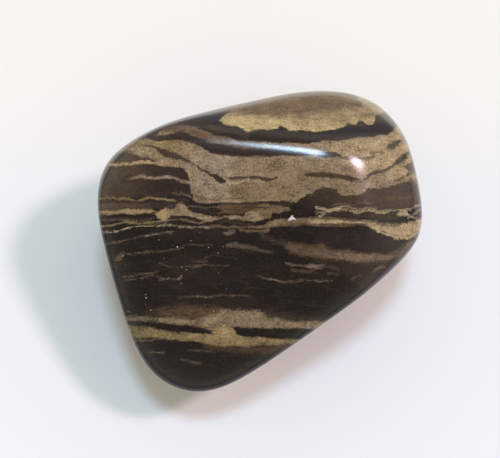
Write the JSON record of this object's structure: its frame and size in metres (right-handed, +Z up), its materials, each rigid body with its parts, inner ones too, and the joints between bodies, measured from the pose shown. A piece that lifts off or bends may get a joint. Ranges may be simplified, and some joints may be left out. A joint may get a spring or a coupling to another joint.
{
  "type": "tumbled stromatolite",
  "caption": "Polished pebble of banded fossil rock, a rounded wedge with tan and dark brown layers, lying on its broad flat underside.",
  "frame": {"origin": "under the middle of the stone, on the surface that it rests on", "axes": "+Z up, through the thickness of the stone; +X along its fossil layers; -Y towards its low, narrow end"},
  "size_m": [0.0294, 0.0296, 0.0166],
  "materials": {
    "polished_banded_rock": "tumble polished, glossy, tan and ochre fossil layers in dark brown rock"
  },
  "bodies": {
    "root": {"stone": "polished_banded_rock"}
  },
  "joints": []
}
